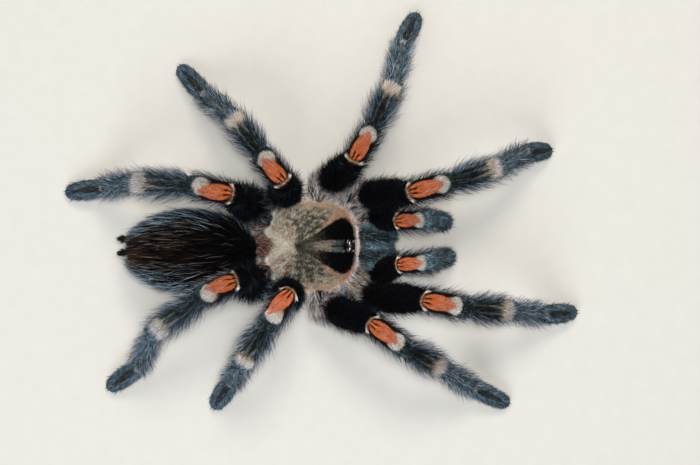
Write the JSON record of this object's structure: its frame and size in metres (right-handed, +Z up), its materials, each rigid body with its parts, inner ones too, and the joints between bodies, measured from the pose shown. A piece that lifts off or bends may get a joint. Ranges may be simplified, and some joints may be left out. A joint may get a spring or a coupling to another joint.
{
  "type": "tarantula",
  "caption": "Red-kneed tarantula standing still, life size: round carapace, oval abdomen, banded hairy legs and feelers, folded fangs.",
  "frame": {"origin": "on the floor, at the middle of the ground that the whole animal covers", "axes": "+X towards the head, +Y to the spider's left, +Z up from the floor"},
  "size_m": [0.1086, 0.0844, 0.024],
  "materials": {
    "carapace": "short flat gold-beige hair",
    "eyes": "glossy black lenses",
    "sternum_coxae": "grey-brown hair",
    "chelicera": "steel-blue hair",
    "fang": "dark polished horn",
    "abdomen": "black velvet with long tan hairs",
    "spinneret": "dark brown hair",
    "pedicel": "bare brown skin",
    "femur": "velvet black hair",
    "patella": "orange-red patch with a cream ring",
    "tibia": "black and blue-grey hair with a cream ring",
    "metatarsus": "blue-grey hair",
    "tarsus": "blue-grey hair with a black stripe"
  },
  "bodies": {
    "root": {"carapace": "carapace", "eyes": "eyes", "sternum_coxae": "sternum_coxae", "chelicera_L": "chelicera", "chelicera_R": "chelicera", "fang_L": "fang", "fang_R": "fang", "pedicel": "pedicel", "abdomen": "abdomen", "spinneret_L": "spinneret", "spinneret_R": "spinneret", "palp_L_femur": "femur", "palp_L_patella": "patella", "palp_L_tibia": "tibia", "palp_L_tarsus": "tarsus", "palp_R_femur": "femur", "palp_R_patella": "patella", "palp_R_tibia": "tibia", "palp_R_tarsus": "tarsus", "leg_L1_femur": "femur", "leg_L1_patella": "patella", "leg_L1_tibia": "tibia", "leg_L1_metatarsus": "metatarsus", "leg_L1_tarsus": "tarsus", "leg_R1_femur": "femur", "leg_R1_patella": "patella", "leg_R1_tibia": "tibia", "leg_R1_metatarsus": "metatarsus", "leg_R1_tarsus": "tarsus", "leg_L2_femur": "femur", "leg_L2_patella": "patella", "leg_L2_tibia": "tibia", "leg_L2_metatarsus": "metatarsus", "leg_L2_tarsus": "tarsus", "leg_R2_femur": "femur", "leg_R2_patella": "patella", "leg_R2_tibia": "tibia", "leg_R2_metatarsus": "metatarsus", "leg_R2_tarsus": "tarsus", "leg_L3_femur": "femur", "leg_L3_patella": "patella", "leg_L3_tibia": "tibia", "leg_L3_metatarsus": "metatarsus", "leg_L3_tarsus": "tarsus", "leg_R3_femur": "femur", "leg_R3_patella": "patella", "leg_R3_tibia": "tibia", "leg_R3_metatarsus": "metatarsus", "leg_R3_tarsus": "tarsus", "leg_L4_femur": "femur", "leg_L4_patella": "patella", "leg_L4_tibia": "tibia", "leg_L4_metatarsus": "metatarsus", "leg_L4_tarsus": "tarsus", "leg_R4_femur": "femur", "leg_R4_patella": "patella", "leg_R4_tibia": "tibia", "leg_R4_metatarsus": "metatarsus", "leg_R4_tarsus": "tarsus"}
  },
  "joints": []
}
